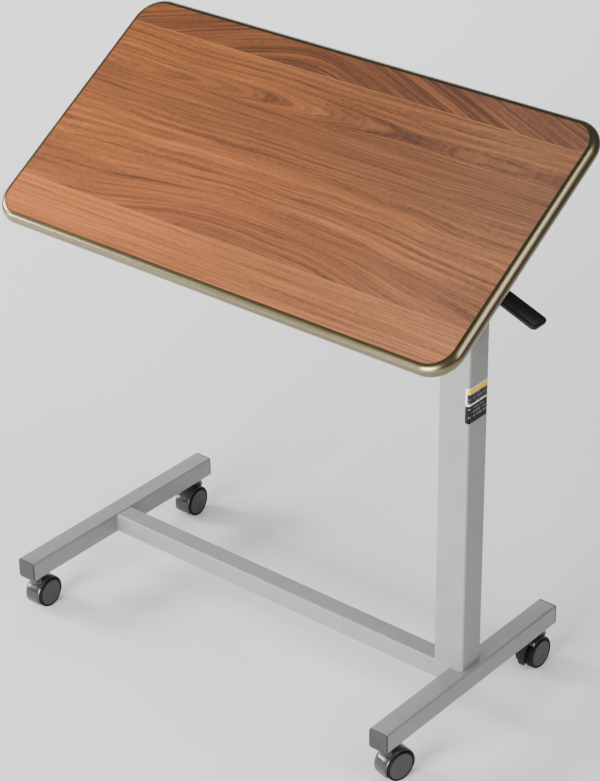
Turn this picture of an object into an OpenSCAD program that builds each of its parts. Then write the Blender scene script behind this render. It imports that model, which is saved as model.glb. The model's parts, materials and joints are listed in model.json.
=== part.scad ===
// Overbed table: H-shaped base on four twin-wheel casters, telescoping column held by a
// lockable gas spring, and a wood-grain top that tilts on an arm fixed to the column's head.
// Origin: on the floor, under the middle of the bounding box.
// +X runs from the open side to the column side, +Y away from the user, +Z up. Millimetres.

/* [Table top] */
// Width of the top over its edge moulding
top_w = 762; // [720:1:800]
// Depth of the top over its edge moulding
top_d = 394; // [370:1:420]
// Thickness of the top at its edge moulding
top_t = 22; // [20:0.5:25]
// Outer radius of the top's corners
top_corner_r = 42; // [35:1:55]
// Tilt of the top in the pose modelled, rear edge high
tilt = 32.3; // [-33:0.1:33]

/* [Height] */
// Height of the upper face when the top is level, in the pose modelled
level_h = 753; // [725:1:800]
// Distance from the tilt axis to the upper face
pivot_drop = 50; // [48:1:56]

/* [Base] */
// Distance between the centre lines of the side rails
rail_spacing = 646.6; // [600:0.1:680]
// Length of a side rail over its end caps
rail_l = 387; // [370:1:420]
// Outer side of the square rail tube
rail_s = 30; // [28:0.5:32]
// Wall of the rail tube
rail_wall = 1.8; // [1.5:0.1:2.5]
// Height of the rails' upper faces above the floor
rail_top = 87; // [86:0.5:92]
// How far the base's middle lies left of the origin
base_shift = 37.4; // [30:0.1:45]
// How far the cross rail lies in front of the rails' middle
cross_rail_front = 1.4; // [0:0.1:4]

/* [Column] */
// Outer width of the column tube, along X
col_w = 48; // [46:0.5:50]
// Outer depth of the column tube, along Y
col_d = 41; // [39:0.5:43]
// Wall of the column tube
col_wall = 2; // [1.6:0.1:2.2]
// Distance from the right rail's centre line to the column's
col_inset = 17.1; // [12:0.1:20]
// How far the column's centre lies behind the rails' middle
col_back = 2.3; // [0:0.1:4]
// Height of the column tube's upper end above the floor
col_top = 605; // [600:1:606]

/* [Casters] */
// Diameter of a caster wheel
wheel_d = 45; // [42:0.5:46]
// Width over the two wheels of one caster
twin_w = 30.8; // [29:0.1:32]
// Distance from the swivel axis to the axle
trail = 14; // [12:0.5:15]
// Distance from the rails' middle to each swivel axis
stem_y = 175; // [170:0.5:176]
// Swivel angle of the front left caster
swivel_fl = 1.8; // [-180:0.1:180]
// Swivel angle of the front right caster
swivel_fr = -13.6; // [-180:0.1:180]
// Swivel angle of the rear left caster, from facing backwards
swivel_rl = 4.7; // [-180:0.1:180]
// Swivel angle of the rear right caster, from facing backwards
swivel_rr = -1.8; // [-180:0.1:180]

/* [Release lever] */
// Angle of the height lever below level
lever_slope = 20.4; // [15:0.1:22]
// How far the height lever's tip stands out past the top's right edge
lever_past_top = 6; // [4:0.5:10]
// Width of the lever's paddle
paddle_w = 30; // [24:1:32]
// Thickness of the lever's paddle
paddle_t = 6; // [5:0.5:7]

/* [Hidden] */
$fn = 64;

// Clearances
running = 0.06;
press = 0.02;
slide_gap = 0.15;
cut = 0.1;

// Base
left_x = -base_shift - rail_spacing / 2;
right_x = -base_shift + rail_spacing / 2;
rail_r = 3;
rail_bottom = rail_top - rail_s;
cap_t = 2.5;
cap_plug_l = 5.5;
cap_plug_wall = 2;

// Column, from the foot up
col_x = right_x - col_inset;
col_in_w = col_w - 2 * col_wall;
col_in_d = col_d - 2 * col_wall;
foot_plate_z = rail_top + 10;
foot_plate_t = 5;
foot_nut_h = 6;
foot_stud_r = 4;
label_t = 0.25;
label_h = 25;
label_gap = 1;
label_z = 471;
label_front = 6;
label_side = 38;
guide_flange = 3;
guide_l = 32;
guide_t = 2;

// Inner mast: its tube leaves room for a guide bushing all round
mast_w = col_in_w - 2 * guide_t;
mast_d = col_in_d - 2 * guide_t;
mast_wall = 1.8;
mast_r = 2.5;
mast_bottom = 150;
lower_guide_l = 30;
lower_guide_lip = 3;

// Head on the mast, and the arm that the top tilts on
pivot_z = level_h - pivot_drop;
head_w = 46;
head_d = 39;
head_wall = 2.9;
head_bottom = pivot_z - 52;
head_top = pivot_z + 16;
head_lap = 13;
mast_top = head_bottom + head_lap;
arm_r = 12.7;
arm_wall = 2;
arm_left = -180;
arm_right = col_x + head_w / 2 + 2;

// Gas spring
cyl_r = 12;
cyl_wall = 1.6;
cyl_bottom = foot_plate_z + foot_plate_t;
cyl_top = 575;
cyl_end = 3;
rod_guide_l = 12;
rod_r = 5;
piston_z = 150;
piston_l = 18;
top_plate_z = mast_top - 10;
top_plate_t = 7;
rod_top = mast_top + 2;
pin_r = 1.6;
pin_l = 20;

// Height release lever: pivot in the head, paddle outside it
lever_pin_r = 2.5;
lever_dx = 14.2;
lever_pivot_x = col_x + lever_dx;
lever_pivot_z = pivot_z - 32.3;
lever_arm_t = 4;
lever_arm_w = 12;
lever_tail = 24;
lever_tip_x = (top_w + lever_past_top) / 2;
lever_l = (lever_tip_x - lever_pivot_x - paddle_t / 2 * sin(lever_slope)) / cos(lever_slope);
paddle_from = 17;
paddle_socket = 28;
pin_gap = 0.25;
pin_top = lever_pivot_z + lever_dx * tan(lever_slope) - lever_arm_t / 2 / cos(lever_slope) - pin_gap;

// Top, in its own frame: origin on the tilt axis, y to the rear edge, z along the face's normal
top_x = -lever_past_top / 2;
lam_t = 0.8;
edge_r = top_t / 2;
edge_inset = 10.4;
board_w = top_w - 2 * edge_inset;
board_d = top_d - 2 * edge_inset;
board_r = top_corner_r - edge_inset;
top_under = pivot_drop - top_t;
tongue_l = 9;
tongue_t = 2.2;
slot_extra = 0.2;

// Tilt brackets, clamp and screws
bracket_x = [top_x - 150, top_x + 150];
clamp_x = top_x + 60;
plate_t = 3;
bracket_w = 50;
bracket_d = 220;
web_t = 4;
web_x = 18;
web_r = 19;
bushing_r = 15;
bushing_l = 46;
screw_r = 2.1;
screw_head_r = 4.5;
screw_head_h = 2.6;
screw_l = 16;
clamp_w = 24;
ear_bottom = -34;
ear_half = 9;
clamp_bolt_z = -26;
clamp_bolt_r = 3;
lever_boss_l = 12;
lever_boss_r = 9;
tilt_lever_l = 78;
tilt_lever_slope = 20;

// Casters
wheel_r = wheel_d / 2;
axle_r = 3;
wheel_gap = 2.2;
hood_in_r = wheel_r + 0.8;
hood_out_r = wheel_r + 2.5;
hood_mid_r = (hood_in_r + hood_out_r) / 2;
hood_half_w = 13;
hood_from = -22;
braked_hood_from = 50;
hood_to = 205;
web_half = 1.6;
web_hub_r = 7;
boss_r = 8;
boss_top = rail_bottom - 2.6;
swivel_pin_r = 4;
swivel_pin_bottom = 46.3;
stem_r = 5;
stem_top = rail_bottom + 23;
stem_nut_h = 8;
stem_nut_r = 9.8;
pedal_hinge_r = wheel_r + 5;
pedal_hinge_a = 55;
pedal_barrel_r = 3.2;
pedal_pin_r = 1.5;
pedal_half_w = 7;
pedal_tip_a = -22;
pedal_t = 3;

// ---- helpers ----

// Rounded rectangle, centred
module round_rect(w, d, r) {
    square([w - 2 * r, d], center = true);
    square([w, d - 2 * r], center = true);
    for (sx = [-1, 1], sy = [-1, 1])
        translate([sx * (w / 2 - r), sy * (d / 2 - r)]) circle(r);
}

// Upright rectangular tube
module box_tube(w, d, wall, r, h) {
    linear_extrude(h) difference() {
        round_rect(w, d, r);
        round_rect(w - 2 * wall, d - 2 * wall, r - wall);
    }
}

// Lays a shape drawn in the XY plane into the YZ plane, with its height along X
module along_x() rotate([90, 0, 90]) children();

// Cylinder along X or Y, centred on its length
module rod_x(r, l) rotate([0, 90, 0]) cylinder(r = r, h = l, center = true);
module rod_y(r, l) rotate([90, 0, 0]) cylinder(r = r, h = l, center = true);

module at_column(z) translate([col_x, col_back, z]) children();
module at_top() translate([0, col_back, pivot_z]) rotate([tilt, 0, 0]) children();

// ---- base ----

module side_rail(x) {
    tube_l = rail_l - 2 * cap_t;
    color("silver") difference() {
        translate([x, tube_l / 2, rail_bottom + rail_s / 2]) rotate([90, 0, 0])
            box_tube(rail_s, rail_s, rail_wall, rail_r, tube_l);
        for (sy = [-1, 1])
            translate([x, sy * stem_y, rail_bottom - cut])
                cylinder(r = stem_r + press, h = rail_wall + 2 * cut);
    }
}

module cross_rail() {
    l = rail_spacing - rail_s;
    color("silver") translate([left_x + rail_s / 2, -cross_rail_front, rail_bottom + rail_s / 2])
        along_x() box_tube(rail_s, rail_s, rail_wall, rail_r, l);
}

// End cap: flange over the tube's end and a hollow plug inside it
module end_cap(x, side) {
    plug = rail_s - 2 * rail_wall - 2 * press;
    color("gray") translate([x, side * (rail_l / 2 - cap_t), rail_bottom + rail_s / 2])
        rotate([side * -90, 0, 0]) {
            linear_extrude(cap_t) round_rect(rail_s, rail_s, rail_r);
            translate([0, 0, -cap_plug_l])
                box_tube(plug, plug, cap_plug_wall, cap_plug_wall + 0.5, cap_plug_l);
        }
}

module caster_stem(x, y) {
    translate([x, y, 0]) {
        translate([0, 0, swivel_pin_bottom])
            cylinder(r = swivel_pin_r, h = boss_top + cut - swivel_pin_bottom);
        translate([0, 0, boss_top + cut]) cylinder(r = stem_r, h = stem_top - boss_top - cut);
    }
}

module caster_stems() {
    color("dimgray") for (x = [left_x, right_x], y = [-stem_y, stem_y]) caster_stem(x, y);
}

module caster_stem_nuts() {
    color("lightgray") for (x = [left_x, right_x], y = [-stem_y, stem_y])
        translate([x, y, rail_bottom + rail_wall]) difference() {
            cylinder(r = stem_nut_r, h = stem_nut_h, $fn = 6);
            translate([0, 0, -cut]) cylinder(r = stem_r + press, h = stem_nut_h + 2 * cut);
        }
}

// ---- column ----

module column_tube() {
    color("silver") at_column(rail_top)
        box_tube(col_w, col_d, col_wall, rail_r, col_top - rail_top);
}

module column_foot_plate() {
    color("silver") at_column(foot_plate_z) difference() {
        linear_extrude(foot_plate_t)
            round_rect(col_in_w - 2 * press, col_in_d - 2 * press, rail_r - col_wall);
        translate([0, 0, -cut]) cylinder(r = foot_stud_r + press, h = foot_plate_t + 2 * cut);
    }
}

module gas_spring_foot_nut() {
    color("lightgray") at_column(foot_plate_z - foot_nut_h) difference() {
        cylinder(r = 7.5, h = foot_nut_h, $fn = 6);
        translate([0, 0, -cut]) cylinder(r = foot_stud_r + press, h = foot_nut_h + 2 * cut);
    }
}

// Sleeve between column and mast, with a flange that covers the column's upper end
module upper_guide_bushing() {
    in_w = mast_w + 2 * slide_gap;
    in_d = mast_d + 2 * slide_gap;
    color("black") at_column(0) difference() {
        union() {
            translate([0, 0, col_top - guide_l]) linear_extrude(guide_l)
                round_rect(col_in_w - 2 * press, col_in_d - 2 * press, rail_r - col_wall);
            translate([0, 0, col_top]) linear_extrude(guide_flange)
                round_rect(col_w - 1, col_d - 1, rail_r);
        }
        translate([0, 0, col_top - guide_l - cut])
            linear_extrude(guide_l + guide_flange + 2 * cut) round_rect(in_w, in_d, mast_r);
    }
}

// Label wrapped round the column's front right corner
module column_label(z) {
    at_column(z) linear_extrude(label_h) intersection() {
        difference() {
            round_rect(col_w + 2 * label_t, col_d + 2 * label_t, rail_r + label_t);
            round_rect(col_w, col_d, rail_r);
        }
        translate([col_w / 2 - label_front, -col_d / 2 - 1])
            square([label_front + 1, label_side + 1]);
    }
}
module column_labels() {
    color("gold") column_label(label_z + label_h + label_gap);
    color("dimgray") column_label(label_z);
}

// ---- gas spring ----

module gas_spring_cylinder() {
    color("black") at_column(0) {
        difference() {
            translate([0, 0, cyl_bottom]) cylinder(r = cyl_r, h = cyl_top - cyl_bottom);
            translate([0, 0, cyl_bottom + cyl_end])
                cylinder(r = cyl_r - cyl_wall, h = cyl_top - cyl_bottom);
        }
        translate([0, 0, rail_top + 2])
            cylinder(r = foot_stud_r, h = cyl_bottom + cut - rail_top - 2);
    }
}

module gas_spring_rod_guide() {
    color("dimgray") at_column(cyl_top - rod_guide_l) difference() {
        cylinder(r = cyl_r - cyl_wall - press, h = rod_guide_l);
        translate([0, 0, -cut]) cylinder(r = rod_r + running, h = rod_guide_l + 2 * cut);
    }
}

module gas_spring_rod() {
    color("lightgray") at_column(0) difference() {
        translate([0, 0, piston_z]) cylinder(r = rod_r, h = rod_top - piston_z);
        translate([0, 0, pin_top - pin_l - 2.5]) cylinder(r = pin_r + running, h = pin_l + 3);
    }
}

module gas_spring_piston() {
    color("dimgray") at_column(piston_z) difference() {
        cylinder(r = cyl_r - cyl_wall - running, h = piston_l);
        translate([0, 0, -cut]) cylinder(r = rod_r + press, h = piston_l + 2 * cut);
    }
}

module gas_spring_top_plate() {
    w = mast_w - 2 * mast_wall - 2 * press;
    d = mast_d - 2 * mast_wall - 2 * press;
    color("silver") at_column(top_plate_z) difference() {
        linear_extrude(top_plate_t) round_rect(w, d, mast_r - mast_wall);
        translate([0, 0, -cut]) cylinder(r = rod_r + press, h = top_plate_t + 2 * cut);
    }
}

// Valve pin in the rod's upper end; the lever presses it down to free the gas spring
module release_pin() {
    color("gold") at_column(pin_top - pin_l) {
        cylinder(r = pin_r, h = pin_l - pin_r);
        translate([0, 0, pin_l - pin_r]) sphere(pin_r);
    }
}

// ---- mast ----

module mast_tube() {
    color("silver") at_column(mast_bottom)
        box_tube(mast_w, mast_d, mast_wall, mast_r, mast_top - mast_bottom);
}

// Sleeve on the mast's lower end, running in the column
module lower_guide_bushing() {
    out_w = col_in_w - 2 * slide_gap;
    out_d = col_in_d - 2 * slide_gap;
    out_r = rail_r - col_wall;
    color("black") at_column(0) difference() {
        translate([0, 0, mast_bottom - lower_guide_lip])
            linear_extrude(lower_guide_l) round_rect(out_w, out_d, out_r);
        translate([0, 0, mast_bottom]) linear_extrude(lower_guide_l)
            round_rect(mast_w + 2 * press, mast_d + 2 * press, mast_r);
        translate([0, 0, mast_bottom - lower_guide_lip - cut])
            cylinder(r = cyl_r + 0.5, h = lower_guide_lip + 2 * cut);
    }
}

// Welded box that closes the mast: it takes the arm, the lever's pin and the lever's slot
module mast_head() {
    h = head_top - head_bottom;
    slot_z = lever_pivot_z - (head_w / 2 - lever_dx) * tan(lever_slope);
    color("silver") difference() {
        at_column(head_bottom) linear_extrude(h) round_rect(head_w, head_d, rail_r);
        at_column(head_bottom - cut) linear_extrude(h - head_wall + cut)
            round_rect(mast_w + 2 * press, mast_d + 2 * press, mast_r);
        translate([(arm_right + col_x) / 2, col_back, pivot_z]) rod_x(arm_r + press, 2 * head_w);
        translate([lever_pivot_x, col_back, lever_pivot_z]) rod_y(lever_pin_r + press, 2 * head_d);
        translate([col_x + head_w / 2, col_back, slot_z]) cube([20, 14, 17], center = true);
    }
}

module release_lever_pin() {
    color("lightgray") translate([lever_pivot_x, col_back, lever_pivot_z])
        rod_y(lever_pin_r, head_d + 2);
}

module support_arm() {
    l = arm_right - arm_left;
    color("silver") translate([(arm_left + arm_right) / 2, col_back, pivot_z]) difference() {
        rod_x(arm_r, l);
        rod_x(arm_r - arm_wall, l + 1);
    }
}

module support_arm_cap() {
    color("black") translate([arm_left, col_back, pivot_z]) {
        translate([-1.25, 0, 0]) rod_x(arm_r, 2.5);
        translate([5, 0, 0]) rod_x(arm_r - arm_wall - press, 10);
    }
}

// ---- height release lever ----

module at_lever() {
    translate([lever_pivot_x, col_back, lever_pivot_z]) rotate([0, lever_slope, 0]) children();
}

module release_lever() {
    arm_l = lever_tail + paddle_from + paddle_socket;
    color("dimgray") at_lever() difference() {
        union() {
            rod_y(5, lever_arm_w);
            translate([arm_l / 2 - lever_tail, 0, 0])
                cube([arm_l, lever_arm_w, lever_arm_t], center = true);
        }
        rod_y(lever_pin_r + running, lever_arm_w + 1);
    }
}

// Flat moulded paddle with a rounded tip, pushed over the lever's arm
module release_lever_paddle() {
    l = lever_l - paddle_from;
    tip_r = 7;
    color("black") at_lever() difference() {
        translate([paddle_from, 0, -paddle_t / 2]) linear_extrude(paddle_t) {
            translate([0, -paddle_w / 2]) square([l - tip_r, paddle_w]);
            translate([l - tip_r - 1, -paddle_w / 2 + tip_r]) square([tip_r + 1, paddle_w - 2 * tip_r]);
            for (sy = [-1, 1]) translate([l - tip_r, sy * (paddle_w / 2 - tip_r)]) circle(tip_r);
        }
        translate([paddle_from + paddle_socket / 2 - cut, 0, 0])
            cube([paddle_socket + 2 * cut, lever_arm_w + 2 * press, lever_arm_t + 2 * press], center = true);
    }
}

// ---- table top ----

// Height of the middle of the top's thickness above the tilt axis
mid_z = pivot_drop - top_t / 2;

module screw_points() {
    for (bx = bracket_x, sx = [-1, 1], sy = [-1, 1])
        translate([bx + sx * 9, sy * 92, top_under]) children();
    for (sy = [-1, 1]) translate([clamp_x, sy * 24, top_under]) children();
}

module table_board() {
    t = top_t - 2 * lam_t;
    color("peru") at_top() difference() {
        translate([top_x, 0, top_under + lam_t]) linear_extrude(t)
            round_rect(board_w, board_d, board_r);
        translate([top_x, 0, mid_z - tongue_t / 2 - slot_extra / 2])
            linear_extrude(tongue_t + slot_extra) difference() {
                round_rect(board_w + 2, board_d + 2, board_r + 1);
                round_rect(board_w - 2 * tongue_l - 1, board_d - 2 * tongue_l - 1,
                    board_r - tongue_l - 0.5);
            }
        screw_points() cylinder(r = screw_r + press, h = screw_l);
    }
}

module top_laminate() {
    color("sienna") at_top() translate([top_x, 0, pivot_drop - lam_t]) linear_extrude(lam_t)
        round_rect(board_w, board_d, board_r);
}

module underside_laminate() {
    color("tan") at_top() difference() {
        translate([top_x, 0, top_under]) linear_extrude(lam_t)
            round_rect(board_w, board_d, board_r);
        screw_points() translate([0, 0, -cut]) cylinder(r = screw_r + press, h = lam_t + 2 * cut);
    }
}

// Half-round moulding section, drawn with its flat at x = 0
module edge_section() {
    intersection() {
        translate([edge_inset - edge_r, 0]) circle(edge_r);
        translate([0, -edge_r]) square([edge_r, top_t]);
    }
}

// Moulding all round the board, with a tongue in the board's slot
module edge_moulding() {
    straight = [board_w - 2 * board_r, board_d - 2 * board_r];
    color("darkkhaki") at_top() translate([top_x, 0, mid_z]) {
        for (k = [0, 1]) rotate([0, 0, 180 * k]) {
            translate([board_w / 2, straight[1] / 2, 0]) rotate([90, 0, 0])
                linear_extrude(straight[1]) edge_section();
            translate([-straight[0] / 2, board_d / 2, 0]) rotate([90, 0, 90])
                linear_extrude(straight[0]) edge_section();
            translate([straight[0] / 2, straight[1] / 2, 0])
                rotate_extrude(angle = 90) translate([board_r, 0]) edge_section();
            translate([-straight[0] / 2, straight[1] / 2, 0]) rotate([0, 0, 90])
                rotate_extrude(angle = 90) translate([board_r, 0]) edge_section();
        }
        translate([0, 0, -tongue_t / 2]) linear_extrude(tongue_t) difference() {
            round_rect(board_w + 2, board_d + 2, board_r + 1);
            round_rect(board_w - 2 * tongue_l, board_d - 2 * tongue_l, board_r - tongue_l);
        }
    }
}

// Bracket under the board: a plate and two webs that carry the bushing
module tilt_bracket(x) {
    color("silver") at_top() translate([x, 0, 0]) difference() {
        union() {
            translate([0, 0, top_under - plate_t]) linear_extrude(plate_t)
                round_rect(bracket_w, bracket_d, 6);
            for (sx = [-1, 1]) translate([sx * web_x - web_t / 2, 0, 0]) along_x()
                linear_extrude(web_t) {
                    circle(web_r);
                    polygon([[-web_r, 0], [web_r, 0], [46, top_under - 1], [-46, top_under - 1]]);
                }
        }
        rod_x(bushing_r, bracket_w + 1);
        for (sx = [-1, 1], sy = [-1, 1]) translate([sx * 9, sy * 92, top_under - plate_t - cut])
            cylinder(r = screw_r + 0.3, h = plate_t + 2 * cut);
    }
}

module tilt_bushing(x) {
    color("black") at_top() translate([x, 0, 0]) difference() {
        rod_x(bushing_r - press, bushing_l);
        rod_x(arm_r + running, bushing_l + 1);
    }
}

// Split clamp round the arm: tightening its bolt holds the tilt
module tilt_clamp() {
    color("silver") at_top() translate([clamp_x, 0, 0]) difference() {
        union() {
            rod_x(web_r, clamp_w);
            translate([-clamp_w / 2, -12, 12]) cube([clamp_w, 24, top_under - 12]);
            translate([0, 0, top_under - plate_t]) linear_extrude(plate_t)
                round_rect(clamp_w, 66, 5);
            translate([-clamp_w / 2, -ear_half, ear_bottom])
                cube([clamp_w, 2 * ear_half, -ear_bottom - 10]);
        }
        rod_x(arm_r + running, clamp_w + 1);
        translate([-clamp_w / 2 - 1, -1.2, ear_bottom - 1]) cube([clamp_w + 2, 2.4, -ear_bottom]);
        translate([0, 0, clamp_bolt_z]) rod_y(clamp_bolt_r + 0.1, 3 * ear_half);
        for (sy = [-1, 1]) translate([0, sy * 24, top_under - plate_t - cut])
            cylinder(r = screw_r + 0.3, h = plate_t + 2 * cut);
    }
}

// Bolt through the clamp's ears: hexagon head at the back, nut in front of the lever
module tilt_clamp_bolt() {
    front = ear_half + lever_boss_l + 7;
    color("lightgray") at_top() translate([clamp_x, 0, clamp_bolt_z]) {
        translate([0, (ear_half - front) / 2, 0]) rod_y(clamp_bolt_r, ear_half + front);
        translate([0, ear_half + 4, 0]) rotate([90, 0, 0]) cylinder(r = 5.77, h = 4, $fn = 6);
    }
}

module tilt_clamp_nut() {
    color("lightgray") at_top() translate([clamp_x, -ear_half - lever_boss_l - 1, clamp_bolt_z])
        rotate([90, 0, 0]) difference() {
            cylinder(r = 5.77, h = 5, $fn = 6);
            translate([0, 0, -cut]) cylinder(r = clamp_bolt_r + press, h = 5 + 2 * cut);
        }
}

module bracket_screws() {
    color("lightgray") at_top() screw_points() {
        translate([0, 0, -plate_t - screw_head_h]) cylinder(r = screw_head_r, h = screw_head_h);
        translate([0, 0, -plate_t - cut]) cylinder(r = screw_r, h = screw_l + plate_t);
    }
}

// ---- tilt lever ----

module at_tilt_lever() {
    at_top() translate([clamp_x, -ear_half - 0.4, clamp_bolt_z]) rotate([0, -tilt_lever_slope, 0])
        children();
}

module tilt_lever() {
    color("dimgray") at_tilt_lever() difference() {
        union() {
            translate([0, -lever_boss_l / 2, 0]) rod_y(lever_boss_r, lever_boss_l);
            translate([-tilt_lever_l, -8.5, -5]) cube([tilt_lever_l, 5, 10]);
        }
        rod_y(clamp_bolt_r + running, 4 * lever_boss_l);
    }
}

module tilt_lever_grip() {
    grip_l = 38;
    color("black") at_tilt_lever() difference() {
        translate([-tilt_lever_l - 4 + grip_l / 2, -6, 0]) rod_x(8, grip_l);
        translate([-tilt_lever_l, -8.5 - press, -5 - press])
            cube([grip_l, 5 + 2 * press, 10 + 2 * press]);
    }
}

// ---- casters ----

// Puts a caster drawn with its swivel axis on Z and its axle trailing to +Y
module at_caster(x, side, swivel) {
    translate([x, side * stem_y, 0]) rotate([0, 0, (side > 0 ? 180 : 0) + swivel]) children();
}
module at_axle() translate([0, trail, wheel_r]) children();
module at_hinge() {
    at_axle() translate([0, pedal_hinge_r * cos(pedal_hinge_a), pedal_hinge_r * sin(pedal_hinge_a)])
        children();
}

// Wedge with its point at the origin, from angle a0
module wedge(r, a0, sweep) {
    steps = 6;
    polygon(concat([[0, 0]], [for (i = [0:steps])
        2 * r * [cos(a0 + sweep * i / steps), sin(a0 + sweep * i / steps)]]));
}

// Sector of a ring round the axle, from angle a0 (0 is straight behind, 90 is up)
module sector(r0, r1, half, a0, sweep) {
    translate([-half, 0, 0]) along_x() linear_extrude(2 * half) intersection() {
        difference() {
            circle(r1);
            circle(r0);
        }
        wedge(r1, a0, sweep);
    }
}

// Plate between the wheels: a hub round the axle and a sector up into the hood
module web(from) {
    translate([-web_half, 0, 0]) along_x() linear_extrude(2 * web_half) difference() {
        union() {
            circle(web_hub_r);
            intersection() {
                circle(hood_mid_r);
                wedge(hood_out_r, from + 3, hood_to - from - 6);
            }
        }
        circle(axle_r + press);
    }
}

// Boss on the hood that turns on the stem's pin; its foot ends inside the hood's wall
module swivel_boss() {
    difference() {
        translate([0, 0, rail_bottom - 23]) cylinder(r = boss_r, h = boss_top - rail_bottom + 23);
        at_axle() rod_x(hood_mid_r, 4 * boss_r);
        translate([0, 0, swivel_pin_bottom - 0.3])
            cylinder(r = swivel_pin_r + running, h = boss_top - swivel_pin_bottom + 1);
    }
}

module housing_body(from) {
    at_axle() sector(hood_in_r, hood_out_r, hood_half_w, from, hood_to - from);
    at_axle() web(from);
    swivel_boss();
}

module caster_housing(x, side, swivel) {
    color("#2a2a2c") at_caster(x, side, swivel) housing_body(hood_from);
}

// The braked caster's housing ends higher behind, and has two ears and the pedal's pin hole
module braked_caster_housing(x, side, swivel) {
    color("#2a2a2c") at_caster(x, side, swivel) difference() {
        union() {
            housing_body(braked_hood_from);
            for (sx = [-1, 1]) at_hinge()
                translate([sx * (hood_half_w + pedal_half_w + 0.4) / 2, 0, 0])
                    rod_x(3.5, hood_half_w - pedal_half_w - 0.4);
        }
        at_hinge() rod_x(pedal_barrel_r + 0.4, 2 * pedal_half_w + 0.6);
        at_hinge() rod_x(pedal_pin_r + press, 2 * hood_half_w + 1);
    }
}

module caster_axle(x, side, swivel) {
    color("lightgray") at_caster(x, side, swivel) at_axle() rod_x(axle_r, twin_w - 5);
}

// Wheel: black tread ring round a grey disc, closed outside, blind bore inside
module caster_wheel(x, side, swivel, hand) {
    out = twin_w / 2;
    color("#4a4a4c") at_caster(x, side, swivel) at_axle() rotate([0, hand * 90, 0])
        rotate_extrude() polygon([
            [axle_r + running, wheel_gap], [wheel_r - 1, wheel_gap], [wheel_r, wheel_gap + 1],
            [wheel_r, out - 2], [wheel_r - 1, out - 0.5], [wheel_r - 2.4, out - 0.2],
            [wheel_r - 3.1, out - 1], [wheel_r * 0.45, out - 0.3], [0, out],
            [0, out - 2.2], [axle_r + running, out - 2.2]
        ]);
}

// Pedal: barrel on the hinge pin and a curved blade behind the wheels
module brake_pedal() {
    color("black") at_caster(right_x, 1, swivel_rr) difference() {
        union() {
            at_hinge() rod_x(pedal_barrel_r, 2 * pedal_half_w);
            at_axle() sector(pedal_hinge_r - 1, pedal_hinge_r - 1 + pedal_t, pedal_half_w,
                pedal_tip_a, pedal_hinge_a - pedal_tip_a);
        }
        at_hinge() rod_x(pedal_pin_r + running, 2 * pedal_half_w + 1);
    }
}

module brake_pedal_pin() {
    color("lightgray") at_caster(right_x, 1, swivel_rr) at_hinge() rod_x(pedal_pin_r, 2 * hood_half_w);
}

// ---- nodes ----

side_rail(left_x);  // left_rail
side_rail(right_x);  // right_rail
cross_rail();
end_cap(left_x, -1);  // front_left_end_cap
end_cap(left_x, 1);  // rear_left_end_cap
end_cap(right_x, -1);  // front_right_end_cap
end_cap(right_x, 1);  // rear_right_end_cap
column_tube();
column_foot_plate();
upper_guide_bushing();
column_labels();
gas_spring_cylinder();
gas_spring_rod_guide();
gas_spring_foot_nut();
caster_stems();
caster_stem_nuts();
mast_tube();
lower_guide_bushing();
mast_head();
gas_spring_top_plate();
gas_spring_rod();
gas_spring_piston();
support_arm();
support_arm_cap();
release_lever_pin();
release_pin();
release_lever();
release_lever_paddle();
table_board();
top_laminate();
underside_laminate();
edge_moulding();
tilt_bracket(bracket_x[0]);  // left_tilt_bracket
tilt_bracket(bracket_x[1]);  // right_tilt_bracket
tilt_bushing(bracket_x[0]);  // left_tilt_bushing
tilt_bushing(bracket_x[1]);  // right_tilt_bushing
tilt_clamp();
tilt_clamp_bolt();
tilt_clamp_nut();
bracket_screws();
tilt_lever();
tilt_lever_grip();
caster_housing(left_x, -1, swivel_fl);  // front_left_caster_housing
caster_axle(left_x, -1, swivel_fl);  // front_left_caster_axle
caster_wheel(left_x, -1, swivel_fl, -1);  // front_left_outer_wheel
caster_wheel(left_x, -1, swivel_fl, 1);  // front_left_inner_wheel
caster_housing(right_x, -1, swivel_fr);  // front_right_caster_housing
caster_axle(right_x, -1, swivel_fr);  // front_right_caster_axle
caster_wheel(right_x, -1, swivel_fr, 1);  // front_right_outer_wheel
caster_wheel(right_x, -1, swivel_fr, -1);  // front_right_inner_wheel
caster_housing(left_x, 1, swivel_rl);  // rear_left_caster_housing
caster_axle(left_x, 1, swivel_rl);  // rear_left_caster_axle
caster_wheel(left_x, 1, swivel_rl, 1);  // rear_left_outer_wheel
caster_wheel(left_x, 1, swivel_rl, -1);  // rear_left_inner_wheel
braked_caster_housing(right_x, 1, swivel_rr);  // rear_right_caster_housing
caster_axle(right_x, 1, swivel_rr);  // rear_right_caster_axle
caster_wheel(right_x, 1, swivel_rr, -1);  // rear_right_outer_wheel
caster_wheel(right_x, 1, swivel_rr, 1);  // rear_right_inner_wheel
brake_pedal();
brake_pedal_pin();
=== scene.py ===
"""Looks of the overbed table: detailed pieces and procedural materials round the CAD frame.

Pieces are drawn in millimetres and scaled by make_piece. Materials, lights and the camera are in metres.
"""

import json
import math

import bmesh
import bpy
from mathutils import Matrix, Vector

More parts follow.
